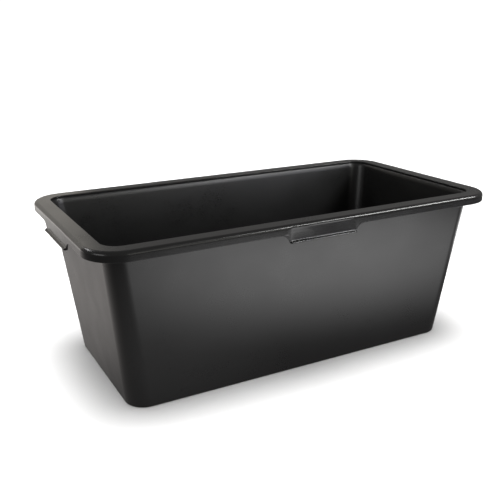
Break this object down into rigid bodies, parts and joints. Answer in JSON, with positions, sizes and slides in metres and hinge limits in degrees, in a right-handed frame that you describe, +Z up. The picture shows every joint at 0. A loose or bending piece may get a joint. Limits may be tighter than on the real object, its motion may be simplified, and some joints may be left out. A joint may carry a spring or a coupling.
{
  "type": "mortar mixing tub",
  "caption": "Rectangular tub with tapered walls, a flat overhanging rim with a short skirt and moulded hand grips, for mixing and carrying mortar or plaster.",
  "frame": {"origin": "middle of the base's underside, on the surface that the tub stands on", "axes": "+X along the length, -Y towards the front long side, +Z up towards the rim"},
  "size_m": [0.799, 0.433, 0.295],
  "materials": {
    "wall_plastic": "fine matte black polyethylene, as moulded",
    "rim_plastic": "satin black polyethylene, as moulded",
    "grip_plastic": "satin black polyethylene, as moulded"
  },
  "bodies": {
    "root": {"floor_panel": "wall_plastic", "front_wall": "wall_plastic", "back_wall": "wall_plastic", "left_wall": "wall_plastic", "right_wall": "wall_plastic", "front_left_corner": "wall_plastic", "front_right_corner": "wall_plastic", "back_left_corner": "wall_plastic", "back_right_corner": "wall_plastic", "front_rim_land": "rim_plastic", "back_rim_land": "rim_plastic", "left_rim_land": "rim_plastic", "right_rim_land": "rim_plastic", "front_left_rim_corner": "rim_plastic", "front_right_rim_corner": "rim_plastic", "back_left_rim_corner": "rim_plastic", "back_right_rim_corner": "rim_plastic", "front_skirt": "rim_plastic", "back_skirt": "rim_plastic", "left_skirt": "rim_plastic", "right_skirt": "rim_plastic", "front_left_skirt_corner": "rim_plastic", "front_right_skirt_corner": "rim_plastic", "back_left_skirt_corner": "rim_plastic", "back_right_skirt_corner": "rim_plastic", "front_grip": "grip_plastic", "back_grip": "grip_plastic", "left_grip": "grip_plastic", "right_grip": "grip_plastic"}
  },
  "joints": []
}
